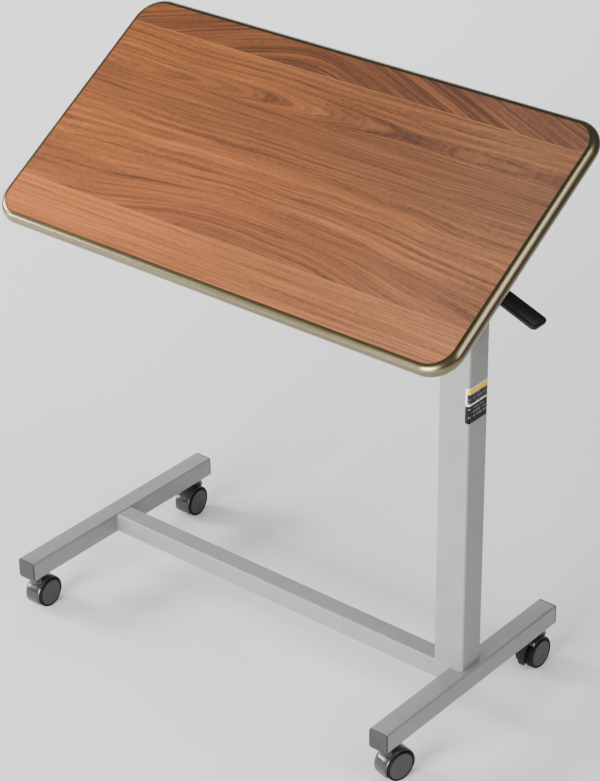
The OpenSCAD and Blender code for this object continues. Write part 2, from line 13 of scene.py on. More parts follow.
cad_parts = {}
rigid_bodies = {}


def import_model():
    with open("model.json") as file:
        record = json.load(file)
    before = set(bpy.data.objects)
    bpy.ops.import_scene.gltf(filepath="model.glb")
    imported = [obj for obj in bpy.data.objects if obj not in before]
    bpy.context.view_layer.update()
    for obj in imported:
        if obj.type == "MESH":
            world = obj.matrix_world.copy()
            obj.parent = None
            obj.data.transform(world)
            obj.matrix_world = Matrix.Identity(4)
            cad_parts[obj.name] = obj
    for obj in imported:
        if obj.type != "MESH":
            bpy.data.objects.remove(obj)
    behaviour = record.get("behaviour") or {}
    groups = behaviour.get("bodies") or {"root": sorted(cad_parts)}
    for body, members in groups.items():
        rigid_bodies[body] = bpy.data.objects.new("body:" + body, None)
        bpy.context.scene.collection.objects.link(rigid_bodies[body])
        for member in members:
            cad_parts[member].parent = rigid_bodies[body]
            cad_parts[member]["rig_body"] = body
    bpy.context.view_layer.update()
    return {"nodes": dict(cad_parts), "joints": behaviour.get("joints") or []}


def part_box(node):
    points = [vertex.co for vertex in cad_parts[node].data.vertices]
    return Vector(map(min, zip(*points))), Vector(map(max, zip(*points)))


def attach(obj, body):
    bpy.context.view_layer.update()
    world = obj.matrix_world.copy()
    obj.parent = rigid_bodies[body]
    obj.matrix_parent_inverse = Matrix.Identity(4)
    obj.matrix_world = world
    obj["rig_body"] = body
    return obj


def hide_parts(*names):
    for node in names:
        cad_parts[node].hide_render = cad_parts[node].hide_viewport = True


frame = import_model()

MM = 0.001


def box_mm(node):
    """A CAD node's lowest and highest corners, in millimetres."""
    return [Vector(corner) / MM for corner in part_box(node)]


def joint_point(name):
    """The point that a joint turns about, in metres."""
    return next(Vector(joint["pos_m"]) for joint in frame["joints"] if joint["name"] == name)


# The table top, measured level from its tilt joint, with the part's own driving sizes
TILT = 32.3
TOP_W, TOP_D, TOP_T, TOP_R = 762, 394, 22.0, 42
TOP_X = -3.0
FACE = 50.0
EDGE_INSET = 10.4
BOARD_W, BOARD_D, BOARD_R = TOP_W - 2 * EDGE_INSET, TOP_D - 2 * EDGE_INSET, TOP_R - EDGE_INSET
BRACKET_X, CLAMP_X = 150, 60
PIVOT = joint_point("top_tilt")
LEVER_PIVOT = joint_point("release_lever_pull")
LEVER_SLOPE = 20.4

# The rails, from the frame
(_, _, RAIL_BOTTOM), (_, RAIL_END, RAIL_TOP) = box_mm("left_rail")

# The casters, with the part's own driving sizes, and the way along its own X of each outer wheel
WHEEL_R, TRAIL = 22.5, 14.0
OUTER_HAND = {"front_left": -1, "front_right": 1, "rear_left": 1, "rear_right": -1}


# ---------------------------------------------------------------- materials

class Graph:
    """A material's node tree. Each method adds a node and returns its output socket."""

    def __init__(self, name):
        self.material = bpy.data.materials.new(name)
        self.material.use_nodes = True
        self.tree = self.material.node_tree
        self.shader = self.tree.nodes["Principled BSDF"]
        self.object_space = self.tree.nodes.new("ShaderNodeTexCoord").outputs["Object"]

    def put(self, socket, value):
        if isinstance(value, bpy.types.NodeSocket):
            self.tree.links.new(value, socket)
        else:
            socket.default_value = value

    def node(self, kind, inputs=None, output=0, **settings):
        n = self.tree.nodes.new(kind)
        for key, value in settings.items():
            setattr(n, key, value)
        for key, value in (inputs or {}).items():
            self.put(n.inputs[key], value)
        return n.outputs[output]

    def math(self, operation, a, b=0.0, c=0.0):
        return self.node("ShaderNodeMath", {0: a, 1: b, 2: c}, operation=operation)

    def add(self, a, b):
        return self.math("ADD", a, b)

    def sub(self, a, b):
        return self.math("SUBTRACT", a, b)

    def mul(self, a, b):
        return self.math("MULTIPLY", a, b)

    def above(self, value, edge, soft):
        """0 below edge, 1 above it, over a soft band."""
        return self.node("ShaderNodeMapRange", {0: value, 1: edge - soft, 2: edge + soft})

    def inside(self, value, low, high, soft):
        """1 between low and high, 0 outside, over soft bands."""
        return self.mul(self.above(value, low, soft), self.sub(1.0, self.above(value, high, soft)))

    def share(self, value, low, high):
        """0..1 from low to high."""
        return self.node("ShaderNodeMapRange", {0: value, 1: low, 2: high})

    def span(self, value, low, high):
        """Maps a 0..1 value to low..high."""
        return self.node("ShaderNodeMapRange", {0: value, 3: low, 4: high})

    def split(self, vector):
        """A vector's x and y."""
        n = self.tree.nodes.new("ShaderNodeSeparateXYZ")
        self.put(n.inputs[0], vector)
        return n.outputs[0], n.outputs[1]

    def join(self, x, y, z):
        return self.node("ShaderNodeCombineXYZ", {0: x, 1: y, 2: z})

    def scaled(self, vector, scale):
        return self.node("ShaderNodeMapping", {"Vector": vector, "Scale": scale})

    def noise(self, vector, scale, detail=3.0, roughness=0.5):
        return self.node("ShaderNodeTexNoise", {
            "Vector": vector, "Scale": scale, "Detail": detail, "Roughness": roughness})

    def ramp(self, factor, stops):
        n = self.tree.nodes.new("ShaderNodeValToRGB")
        elements = n.color_ramp.elements
        while len(elements) < len(stops):
            elements.new(0.5)
        for element, (position, colour) in zip(elements, stops):
            element.position = position
            element.color = (*colour, 1)
        self.put(n.inputs[0], factor)
        return n.outputs[0]

    def mix(self, factor, a, b, blend="MIX"):
        n = self.tree.nodes.new("ShaderNodeMix")
        n.data_type = "RGBA"
        n.blend_type = blend
        self.put(n.inputs[0], factor)
        for socket, value in ((n.inputs[6], a), (n.inputs[7], b)):
            self.put(socket, (*value, 1) if isinstance(value, tuple) else value)
        return n.outputs[2]

    def bump(self, height, strength, distance):
        self.put(self.shader.inputs["Normal"], self.node("ShaderNodeBump", {
            "Height": height, "Strength": strength, "Distance": distance}))

    def set(self, **inputs):
        names = {"colour": "Base Color", "roughness": "Roughness", "metallic": "Metallic",
                 "coat": "Coat Weight", "specular": "Specular IOR Level"}
        for key, value in inputs.items():
            self.put(self.shader.inputs[names[key]], value)
        return self.material


def finish_material(name, dark, light, rough, grain, bump, metallic=0.0, coat=0.0, specular=0.5):
    """Paint, plastic or metal: blotches and fine grain in colour and roughness, and bump.
    grain is the size of the fine texture in mm; bump its height in mm."""
    blotch = 36.0
    g = Graph(name)
    fine = g.noise(g.object_space, 1000 / grain, 2.0, 0.6)
    broad = g.noise(g.object_space, 1000 / blotch, 4.0, 0.55)
    tone = g.add(g.mul(fine, 0.5), g.mul(broad, 0.5))
    g.bump(fine, 0.6, bump * MM)
    return g.set(
        colour=g.ramp(tone, [(0.3, dark), (0.7, light)]),
        roughness=g.span(tone, rough[0], rough[1]), metallic=metallic, coat=coat,
        specular=specular)


def drawn_material(name, dark, light, rough, axis, metallic=1.0):
    """Drawn, turned or extruded metal: fine streaks along one axis."""
    across, along = 2000, 12
    g = Graph(name)
    scale = [across] * 3
    scale[axis] = along
    streaks = g.noise(g.scaled(g.object_space, scale), 1.0, 3.0, 0.6)
    broad = g.noise(g.object_space, 25.0, 3.0, 0.5)
    tone = g.add(g.mul(streaks, 0.6), g.mul(broad, 0.4))
    g.bump(streaks, 0.25, 0.03 * MM)
    return g.set(colour=g.ramp(tone, [(0.3, dark), (0.7, light)]),
                 roughness=g.span(tone, rough[0], rough[1]), metallic=metallic)


# Where the printed walnut's three planks meet, across the level top in metres
REAR_SEAM, FRONT_SEAM = 0.1475, -0.127


def walnut_lines(g, on_top, u, v, rear, plain, front):
    """A value that is the same all along each grain line, so that noise over it draws the grain."""
    # Slow wander of the grain lines
    slow = g.noise(g.scaled(on_top, (2.6, 9, 1)), 1.0, 4.5, 0.5)
    wander = g.mul(g.sub(slow, 0.5), 0.034)

    # Rear plank: arches that rise to the middle and fall to the right
    from_crown = g.add(u, 0.07)
    arch = g.mul(g.math("SQRT", g.add(g.mul(from_crown, from_crown), 0.0040)), 0.36)
    rear_v = g.add(v, arch)

    # Field: low arch along its front edge and pointed figure in its rear half
    low = g.sub(1.0, g.above(v, -0.055, 0.075))
    off = g.mul(g.sub(u, 0.03), 4.2)
    hump = g.math("EXPONENT", g.mul(g.mul(off, off), -1.0))
    front_arch = g.mul(g.mul(low, g.sub(1.0, hump)), 0.050)
    across = g.sub(g.add(v, g.mul(wander, 0.35)), 0.078)
    depth = g.mul(g.add(g.math("SMOOTH_MIN", u, 0.11, 0.08), 0.42), 0.085)
    cone = g.math("SQRT", g.add(g.mul(across, across), g.mul(depth, depth)))
    near = g.math("EXPONENT", g.mul(g.math("ABSOLUTE", across), -38.0))
    figure = g.mul(near, g.sub(cone, g.math("ABSOLUTE", across)))
    field_v = g.add(g.add(g.add(v, front_arch), wander), g.mul(figure, 1.3))

    rear_w = g.mul(rear, g.mul(g.add(rear_v, g.mul(wander, 0.4)), 1.3))
    front_w = g.mul(front, g.add(g.mul(wander, 0.25), g.add(v, 3.0)))
    return g.add(rear_w, g.add(g.mul(plain, field_v), front_w))


def walnut_tone(g, u, w, rear, front):
    """Light and dark of the grain, from broad bands to pores.
    The fine lines and the pores come back too, for the bump and the roughness."""
    def streaks(along, across_scale, detail, seed):
        return g.noise(g.join(g.mul(u, along), g.mul(w, across_scale), seed), 1.0, detail, 0.55)

    bands = streaks(1.6, 44, 2.0, 0.0)
    lines = streaks(3.4, 250, 3.0, 4.0)
    fine = streaks(16.0, 900, 2.0, 9.0)
    pores = streaks(55.0, 2100, 1.0, 14.0)
    flecks = streaks(110.0, 520, 1.0, 19.0)
    tone = g.add(g.add(g.mul(bands, 0.25), g.mul(lines, 0.55)), g.mul(fine, 0.20))
    tone = g.add(tone, g.add(g.mul(g.sub(pores, 0.5), 0.06), g.mul(g.sub(flecks, 0.5), 0.16)))

    # The front plank is lighter and has more contrast, and the rear plank is darker
    tone = g.add(tone, g.mul(g.sub(tone, 0.5), g.mul(front, 0.3)))
    tone = g.add(tone, g.sub(g.mul(front, 0.108), g.mul(rear, 0.094)))

    # Sharp dark growth lines
    figure_line = g.math("PINGPONG", g.mul(w, 260.0), 1.0)
    dark_line = g.mul(g.math("POWER", figure_line, 9.0), g.above(lines, 0.47, 0.10))
    return g.sub(tone, g.mul(dark_line, 0.070)), fine, pores


def walnut_colour(g, tone, u, v, plain):
    """The print's browns with painted light over the top: lighter and warmer to the left, and a painted
    greyish sheen to the right. Also a slow change of tone from the front to the rear of the field, and
    the seams between planks.
    """
    colour = g.ramp(tone, [
        (0.26, (0.092, 0.034, 0.019)), (0.40, (0.198, 0.069, 0.033)),
        (0.50, (0.347, 0.110, 0.0435)), (0.60, (0.495, 0.148, 0.0515)),
        (0.74, (0.700, 0.205, 0.065))])
    # Painted light and sheen: warmer and lighter to the left, where more light falls, and cooler and
    # greyer to the right as a painted sheen
    painted_light_and_sheen = g.ramp(g.share(u, -0.30, 0.30), [
        (0.0, (0.73, 0.77, 0.63)), (0.4, (0.62, 0.69, 0.68)),
        (0.8, (0.56, 0.70, 0.81)), (1.0, (0.57, 0.775, 0.99))])
    shade = g.ramp(g.share(v, FRONT_SEAM, REAR_SEAM), [
        (0.10, (0.83, 0.81, 0.83)), (0.24, (0.99, 0.94, 0.88)),
        (0.41, (0.92, 0.90, 0.86)), (0.57, (0.74, 0.77, 0.81)),
        (0.74, (0.71, 0.74, 0.79)), (0.90, (0.81, 0.84, 0.83))])
    shade = g.mix(plain, (0.83, 0.83, 0.83), shade)
    colour = g.mix(1.0, colour, shade, "MULTIPLY")
    colour = g.mix(1.0, colour, painted_light_and_sheen, "MULTIPLY")
    seam = g.add(*(g.sub(1.0, g.above(g.math("ABSOLUTE", g.sub(v, at)), 0.0006, 0.0004))
                   for at in (REAR_SEAM, FRONT_SEAM)))
    return g.mix(g.mul(seam, 0.5), colour, (0.36, 0.15, 0.07))


def walnut_material():
    """Printed walnut laminate: a dark rear plank, a wide figured field and a light front plank."""
    g = Graph("walnut_laminate")
    on_top = g.node("ShaderNodeMapping", {
        "Vector": g.object_space, "Location": PIVOT,
        "Rotation": (math.radians(TILT), 0, 0)}, vector_type="TEXTURE")
    u, v = g.split(on_top)
    rear = g.above(v, REAR_SEAM, 0.0003)
    front = g.sub(1.0, g.above(v, FRONT_SEAM, 0.0003))
    plain = g.sub(g.sub(1.0, rear), front)
    w = walnut_lines(g, on_top, u, v, rear, plain, front)
    tone, fine, pores = walnut_tone(g, u, w, rear, front)
    g.bump(g.add(g.mul(fine, 0.5), g.mul(pores, 0.5)), 0.35, 0.05 * MM)
    return g.set(colour=walnut_colour(g, tone, u, v, plain), roughness=g.span(fine, 0.44, 0.56),
                 specular=0.2)


def particle_board_material():
    """Pressed chips of many browns, seen only where the laminates and the moulding leave it bare."""
    g = Graph("wood_board")
    chips = g.node("ShaderNodeTexVoronoi", {
        "Vector": g.scaled(g.object_space, (260, 520, 900)), "Scale": 1.0}, output=1)
    fine = g.noise(g.object_space, 900.0)
    colour = g.mix(0.35, (0.46, 0.30, 0.16), chips, "OVERLAY")
    g.bump(fine, 0.5, 0.2 * MM)
    return g.set(colour=g.mix(g.span(fine, 0, 0.5), colour, (0.30, 0.18, 0.09)),
                 roughness=g.span(fine, 0.7, 0.9))


def label_material(name, striped):
    """Generic printed label: border, block of colour and bars that stand for small print.
    Its UV map is in metres: s from the label's left end, t from its lower edge."""
    soft = 0.0002
    black, white = (0.010, 0.010, 0.010), (0.82, 0.82, 0.80)
    g = Graph(name)
    s, t = g.split(g.tree.nodes.new("ShaderNodeTexCoord").outputs["UV"])
    wear = g.noise(g.object_space, 700.0, 3.0)
    rows = g.math("PINGPONG", g.mul(t, 330.0), 1.0)
    row = g.math("FLOOR", g.mul(t, 165.0))
    gaps = g.noise(g.join(g.mul(s, 420.0), row, 0.5), 1.0, 1.0)
    marks = g.mul(g.above(rows, 0.52, 0.10), g.above(gaps, 0.50, 0.03))
    if striped:
        block = g.mix(g.mul(marks, 0.55), (0.020, 0.020, 0.024), (0.26, 0.26, 0.30))
        colour = g.mix(g.inside(t, 0.0020, 0.0165, soft), white, block)
        colour = g.mix(g.inside(t, 0.0165, 0.0235, soft), colour, (1.0, 0.62, 0.0))
        colour = g.mix(g.above(s, 0.0028, soft), white, colour)
    else:
        block = g.mix(g.mul(marks, 0.60), (0.012, 0.011, 0.010), (0.34, 0.28, 0.25))
        colour = g.mix(g.inside(t, 0.0050, 0.0220, soft), (0.006, 0.006, 0.006), block)
        colour = g.mix(g.above(s, 0.0045, soft), black, colour)
    g.bump(wear, 0.2, 0.04 * MM)
    return g.set(colour=g.mix(g.span(wear, 0.0, 0.4), colour, (0.7, 0.7, 0.7), "MULTIPLY"),
                 roughness=g.span(wear, 0.34, 0.48), specular=0.12)


def grey(level):
    """Grey with a slight warmth."""
    return (level, level, level * 0.985)


# Dark and light colour, roughness, grain and bump in mm, and what else the finish needs
FINISHES = {
    "silver_paint": (grey(0.215), grey(0.275), (0.36, 0.48), 1.1, 0.03, {"metallic": 0.20}),
    "grey_plastic": (grey(0.026), grey(0.038), (0.42, 0.56), 0.8, 0.03, {"specular": 0.35}),
    "zinc_steel": ((0.46, 0.47, 0.47), (0.66, 0.66, 0.62), (0.25, 0.42), 1.5, 0.02,
                   {"metallic": 1.0}),
    "nylon": (grey(0.018), grey(0.030), (0.4, 0.55), 0.7, 0.03, {}),
    "black_paint": (grey(0.012), grey(0.022), (0.28, 0.42), 1.2, 0.04, {}),
    "black_plastic": (grey(0.004), grey(0.009), (0.34, 0.48), 0.6, 0.02, {"specular": 0.25}),
    "backing_laminate": ((0.20, 0.135, 0.085), (0.29, 0.20, 0.13), (0.4, 0.55), 0.9, 0.03, {}),
    "caster_hood": (grey(0.012), grey(0.024), (0.20, 0.30), 0.9, 0.012, {"coat": 0.4}),
    "caster_wheel": (grey(0.040), grey(0.060), (0.42, 0.56), 0.8, 0.02, {"specular": 0.3}),
    "caster_tread": (grey(0.004), grey(0.009), (0.50, 0.66), 0.7, 0.03, {"specular": 0.12}),
    "bronze_edge": ((0.155, 0.128, 0.068), (0.205, 0.172, 0.096), (0.25, 0.33), 2.2, 0.004,
                    {"metallic": 1.0, "coat": 0.3}),
}
# Dark and light colour, roughness, and the axis that the metal is drawn or turned along
ALONG_X, ALONG_Z = 0, 2
DRAWN = {
    "mast_steel": (grey(0.42), grey(0.60), (0.22, 0.36), ALONG_Z, 0.9),
    "chromed_rod": (grey(0.6), grey(0.75), (0.06, 0.14), ALONG_Z),
    "aluminium_part": (grey(0.45), grey(0.62), (0.30, 0.42), ALONG_Z),
    "brass_pin": ((0.55, 0.38, 0.12), (0.75, 0.54, 0.20), (0.2, 0.35), ALONG_Z),
    "axle_steel": (grey(0.4), grey(0.6), (0.2, 0.35), ALONG_X),
}


def make_materials():
    made = {name: finish_material(name, *values, **more)
            for name, (*values, more) in FINISHES.items()}
    made.update({name: drawn_material(name, *values) for name, values in DRAWN.items()})
    made["wood_board"] = particle_board_material()
    made["walnut_laminate"] = walnut_material()
    made["label_upper"] = label_material("label_upper", True)
    made["label_lower"] = label_material("label_lower", False)
    return made


MATERIALS = make_materials()


# ---------------------------------------------------------------- mesh helpers

def mesh_from(name, bm):
    """Mesh with outward normals from a bmesh, which is then freed."""
    bmesh.ops.recalc_face_normals(bm, faces=bm.faces)
    mesh = bpy.data.meshes.new(name)
    bm.to_mesh(mesh)
    bm.free()
    return mesh


def make_piece(name, bm, body, materials, stands_for=(), bevel=0.0, smooth_angle=35.0,
               at=Matrix.Identity(4)):
    """Object from a bmesh drawn in mm, placed by at (in metres), riding on a CAD body."""
    mesh = mesh_from(name, bm)
    mesh.transform(at @ Matrix.Scale(MM, 4))
    for material in materials:
        mesh.materials.append(MATERIALS[material])
    for face in mesh.polygons:
        face.use_smooth = True
    mesh.set_sharp_from_angle(angle=math.radians(smooth_angle))
    piece = bpy.data.objects.new(name, mesh)
    bpy.context.scene.collection.objects.link(piece)
    if bevel:
        add_bevel(piece, bevel)
    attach(piece, body)
    if stands_for:
        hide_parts(*stands_for)
    return piece


def add_bevel(piece, width):
    bevel = piece.modifiers.new("bevel", "BEVEL")
    bevel.width = width * MM
    bevel.segments = 2
    bevel.limit_method = "ANGLE"
    bevel.angle_limit = math.radians(32)
    bevel.harden_normals = True
    bevel.use_clamp_overlap = True


def scratch_object(name, bm):
    """Object that only lends its mesh to a modifier."""
    scratch = bpy.data.objects.new(name, mesh_from(name, bm))
    bpy.context.scene.collection.objects.link(scratch)
    return scratch


def modified_mesh(scratch, *helpers):
    """A scratch object's mesh after its modifiers. It and its helpers are then removed."""
    bpy.context.view_layer.update()
    result = bpy.data.meshes.new_from_object(
        scratch.evaluated_get(bpy.context.evaluated_depsgraph_get()))
    for spent in (scratch, *helpers):
        bpy.data.objects.remove(spent)
    return result


def bridge(bm, rings, loop=False, material=0):
    """Skins consecutive rings of vertices with quads."""
    count = len(rings[0])
    pairs = list(zip(rings, rings[1:])) + ([(rings[-1], rings[0])] if loop else [])
    for a, b in pairs:
        for i in range(count):
            j = (i + 1) % count
            face = bm.faces.new((a[i], a[j], b[j], b[i]))
            face.material_index = material


def cap_ends(bm, rings, material=0):
    """Closes the first and the last ring of a skin."""
    for ring in (rings[0], rings[-1]):
        bm.faces.new(ring).material_index = material


def lathe(bm, profile, steps, place=Matrix.Identity(4), zones=None):
    """Turns a profile of (radius, along) points round X. Ends at radius 0 close to a point.
    zones is the material's index for each span of the profile."""
    rings = []
    for radius, along in profile:
        if radius < 1e-6:
            rings.append([bm.verts.new(place @ Vector((along, 0, 0)))])
            continue
        rings.append([bm.verts.new(place @ Vector((
            along, radius * math.cos(a), radius * math.sin(a))))
            for a in (2 * math.pi * k / steps for k in range(steps))])
    for index, (a, b) in enumerate(zip(rings, rings[1:])):
        for i in range(steps):
            j = (i + 1) % steps
            if len(a) == 1:
                corners = (a[0], b[j], b[i])
            elif len(b) == 1:
                corners = (a[i], a[j], b[0])
            else:
                corners = (a[i], a[j], b[j], b[i])
            face = bm.faces.new(corners)
            face.material_index = zones[index] if zones else 0


def prism(bm, outline, low, high, place=Matrix.Identity(4)):
    """Closed prism over an outline of (x, y) points, from z low to high."""
    ends = [[bm.verts.new(place @ Vector((x, y, z))) for x, y in outline] for z in (low, high)]
    bridge(bm, ends)
    cap_ends(bm, ends)


def arc_points(cx, cy, radius, start, stop, steps):
    return [(cx + radius * math.cos(math.radians(a)), cy + radius * math.sin(math.radians(a)))
            for a in (start + (stop - start) * k / steps for k in range(steps + 1))]


def rounded_rect(width, depth, radius, steps=6):
    """Outline of a centred rounded rectangle, anticlockwise."""
    points = []
    for turn, (sx, sy) in enumerate(((1, 1), (-1, 1), (-1, -1), (1, -1))):
        points += arc_points(sx * (width / 2 - radius), sy * (depth / 2 - radius), radius,
                             90 * turn, 90 * turn + 90, steps)
    return points


def caster_matrix(corner):
    """A caster's place: under its swivel, and turned so that its own +Y runs to its axle."""
    swivel = joint_point(corner + "_swivel")
    to_axle = joint_point(corner + "_outer_wheel_roll") - swivel
    turn = math.atan2(-to_axle.x, to_axle.y)
    return Matrix.Translation((swivel.x, swivel.y, 0)) @ Matrix.Rotation(turn, 4, "Z")


AT_TOP = Matrix.Translation(PIVOT) @ Matrix.Rotation(math.radians(TILT), 4, "X")
AT_LEVER = Matrix.Translation(LEVER_PIVOT) @ Matrix.Rotation(math.radians(LEVER_SLOPE), 4, "Y")


# ---------------------------------------------------------------- refined CAD nodes

def body_of(node):
    return frame["nodes"][node]["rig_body"]


def refine(node, slot, bevel):
    """Copy of a CAD node with its facets merged and its edges rounded."""
    same_point, flat_angle = 2e-6, math.radians(0.8)
    bm = bmesh.new()
    bm.from_mesh(frame["nodes"][node].data)
    bmesh.ops.remove_doubles(bm, verts=bm.verts, dist=same_point)
    bmesh.ops.dissolve_limit(bm, angle_limit=flat_angle, verts=bm.verts, edges=bm.edges)
    clean = bmesh.new()
    corners = {v: clean.verts.new(v.co / MM) for v in bm.verts}
    for face in bm.faces:
        clean.faces.new([corners[v] for v in face.verts])
    bm.free()
    return make_piece(node + "_body", clean, body_of(node), [slot], (node,), bevel)


# Material of each refined node, with its edges' rounding in mm
REFINED = {
    "silver_paint": {
        "left_rail": 0.4, "right_rail": 0.4, "cross_rail": 0.3, "column_tube": 0.5,
        "mast_head": 0.6, "support_arm": 0.4, "left_tilt_bracket": 0.5,
        "right_tilt_bracket": 0.5, "tilt_clamp": 0.6},
    "mast_steel": {"mast_tube": 0.3},
    "nylon": {"upper_guide_bushing": 0.5, "left_tilt_bushing": 0.4, "right_tilt_bushing": 0.4,
              "lower_guide_bushing": 0.4},
    "black_plastic": {"support_arm_cap": 0.8},
    "black_paint": {"tilt_lever": 1.0, "release_lever": 0.5, "caster_stems": 0.3},
    "zinc_steel": {"tilt_clamp_nut": 0.5, "tilt_clamp_bolt": 0.5, "release_lever_pin": 0.4,
                   "caster_stem_nuts": 0.4, "gas_spring_foot_nut": 0.4},
}
# CAD nodes that stay as they are and only get a material
PLAIN = {
    "silver_paint": ["column_foot_plate", "gas_spring_top_plate"],
    "black_paint": ["gas_spring_cylinder"],
    "aluminium_part": ["gas_spring_rod_guide", "gas_spring_piston"],
    "chromed_rod": ["gas_spring_rod"],
    "brass_pin": ["release_pin"],
    "wood_board": ["table_board"],
    "walnut_laminate": ["top_laminate"],
    "backing_laminate": ["underside_laminate"],
    "axle_steel": [corner + "_caster_axle" for corner in OUTER_HAND] + ["brake_pedal_pin"],
}


def dress_frame():
    """Gives each CAD node of both lists its material, and refines those of the first."""
    for slot, nodes in PLAIN.items():
        for node in nodes:
            mesh = frame["nodes"][node].data
            mesh.materials.clear()
            mesh.materials.append(MATERIALS[slot])
    for slot, nodes in REFINED.items():
        for node, bevel in nodes.items():
            refine(node, slot, bevel)


# ---------------------------------------------------------------- base

def end_cap(corner):
    """Moulded cap: softened flange with a slightly dished face, and its hollow plug."""
    swivel = joint_point(corner + "_swivel") / MM
    side = 1 if swivel.y > 0 else -1
    bm = bmesh.new()
    place = (Matrix.Translation((swivel.x, side * RAIL_END, (RAIL_BOTTOM + RAIL_TOP) / 2))
             @ Matrix.Rotation(math.radians(-90 * side), 4, "X"))

    def square_rings(layers):
        return [[bm.verts.new(place @ Vector((x, y, z)))
                 for x, y in rounded_rect(size, size, radius)] for size, z, radius in layers]

    # Each layer is its side, its height from the rail's end and its corner radius
    flange = square_rings([
        (27.8, 0.0, 2.2), (27.8, 0.8, 2.2), (30.0, 1.0, 3.2), (30.0, 1.5, 3.2),
        (29.4, 2.1, 3.4), (28.1, 2.5, 3.4), (26.6, 2.5, 3.0), (25.6, 2.1, 2.6)])
    bridge(bm, flange)
    cap_ends(bm, flange)
    plug = square_rings([
        (26.3, -0.05, 2.4), (26.3, -4.6, 2.4), (25.2, -5.5, 2.0), (22.3, -5.5, 1.6),
        (22.3, -0.05, 1.6)])
    bridge(bm, plug, loop=True)
    node = corner + "_end_cap"
    return make_piece(node + "_moulded", bm, "base", ["grey_plastic"], (node,))


def end_caps():
    for rail in ("left", "right"):
        for end in ("front", "rear"):
            end_cap(f"{end}_{rail}")


def weld_bead(bm, start, stop, radius):
    """Rippled fillet bead from start to stop, thinner at its ends."""
    sides, pitch, end_share = 8, 0.8, 0.35
    start, stop = Vector(start), Vector(stop)
    length = (stop - start).length
    count = max(2, int(length / pitch))
    tangent = (stop - start) / length
    side = tangent.orthogonal().normalized()
    up = tangent.cross(side)
    rings = []
    for k in range(count + 1):
        ripple = radius * (1 + 0.12 * math.sin(k * 2.1) + 0.05 * math.sin(k * 0.63))
        if k in (0, count):
            ripple *= end_share
        rings.append([bm.verts.new(start.lerp(stop, k / count) + ripple * (
            math.cos(2 * math.pi * i / sides) * side + math.sin(2 * math.pi * i / sides) * up))
            for i in range(sides)])
    bridge(bm, rings)
    cap_ends(bm, rings)


def base_welds():
    """Beads at both ends of the cross rail and round the column's foot."""
    bm = bmesh.new()
    (left, front, _), (right, back, _) = box_mm("cross_rail")
    tube_r = 2.5
    for x in (left, right):
        for y in (front, back):
            weld_bead(bm, (x, y, RAIL_BOTTOM + tube_r), (x, y, RAIL_TOP - tube_r), 1.3)
        weld_bead(bm, (x, front + tube_r, RAIL_BOTTOM), (x, back - tube_r, RAIL_BOTTOM), 1.2)
    weld_bead(bm, (left, front + tube_r, RAIL_TOP), (left, back - tube_r, RAIL_TOP), 0.7)

    (column_left, near, _), (column_right, far, _) = box_mm("column_tube")
    column_r, rail_edge = 3.0, right + 1.6
    for y in (near, far):
        weld_bead(bm, (rail_edge, y, RAIL_TOP), (column_right - column_r, y, RAIL_TOP), 1.1)
    weld_bead(bm, (column_right, near + column_r, RAIL_TOP),
              (column_right, far - column_r, RAIL_TOP), 1.1)
    weld_bead(bm, (column_left, front + column_r, RAIL_TOP),
              (column_left, back - column_r, RAIL_TOP), 1.1)
    return make_piece("base_welds", bm, "base", ["silver_paint"], smooth_angle=80)


def column_labels():
    """Two labels bent round the column's front right corner, with rounded corners."""
    (left, near, _), (right, far, _) = box_mm("column_tube")
    half_w, half_d, fillet = (right - left) / 2, (far - near) / 2, 3.0
    centre = Vector(((left + right) / 2, (near + far) / 2, 0))
    front_length, side_length, height, gap = 6.0, 35.0, 25.0, 1.0
    corner, film_from, film_to = 2.0, 0.02, 0.22
    lower_z = box_mm("column_labels")[0].z

    # Points (x, y) of the column's surface that the labels follow, with its normal there
    on_front, on_fillet, on_side = 6, 8, 24
    path = [(half_w - front_length + k * (front_length - fillet) / on_front, -half_d, 0, -1)
            for k in range(on_front + 1)]
    for k in range(1, on_fillet + 1):
        a = math.radians(-90 + 90 * k / on_fillet)
        path.append((half_w - fillet + fillet * math.cos(a),
                     -half_d + fillet + fillet * math.sin(a), math.cos(a), math.sin(a)))
    path += [(half_w, -half_d + fillet + k * side_length / on_side, 1, 0)
             for k in range(1, on_side + 1)]
    lengths = [0.0]
    for a, b in zip(path, path[1:]):
        lengths.append(lengths[-1] + math.hypot(b[0] - a[0], b[1] - a[1]))

    bm = bmesh.new()
    uv = bm.loops.layers.uv.new("print")
    flat = {}
    for index, base_z in enumerate((lower_z + height + gap, lower_z)):
        rings = []
        for (x, y, nx, ny), s in zip(path, lengths):
            from_end = min(s, lengths[-1] - s)
            inset = max(0.0, corner - from_end)
            trim = corner - math.sqrt(corner ** 2 - inset ** 2)
            low, high = trim, height - trim
            ring = []
            for offset, t in ((film_from, low), (film_from, high), (film_to, high), (film_to, low)):
                vert = bm.verts.new(centre + Vector((x + nx * offset, y + ny * offset, base_z + t)))
                flat[vert] = (s * MM, t * MM)
                ring.append(vert)
            rings.append(ring)
        bridge(bm, rings, material=index)
        cap_ends(bm, rings, material=index)
    for face in bm.faces:
        for loop in face.loops:
            loop[uv].uv = flat[loop.vert]
    return make_piece("column_labels_print", bm, "base",
                      ["label_upper", "label_lower"], ("column_labels",))


# ---------------------------------------------------------------- casters

# A wheel's (radius, distance from the caster's middle): its bore, then outward over tread and hub
WHEEL_BORE = [(0.0, 13.2), (3.1, 13.2), (3.1, 2.3)]
WHEEL_TREAD = [
    (20.6, 2.3), (21.9, 2.7), (22.45, 3.8), (WHEEL_R, 8.0), (22.45, 12.4), (22.1, 13.9),
    (21.4, 14.75), (20.7, 15.0), (20.1, 14.9), (19.7, 14.4), (19.4, 13.9)]
WHEEL_HUB = [
    (19.1, 14.3), (18.6, 14.75), (12.0, 15.05), (6.0, 15.25), (4.6, 15.25), (4.2, 15.05),
    (3.6, 15.05), (0.0, 15.1)]


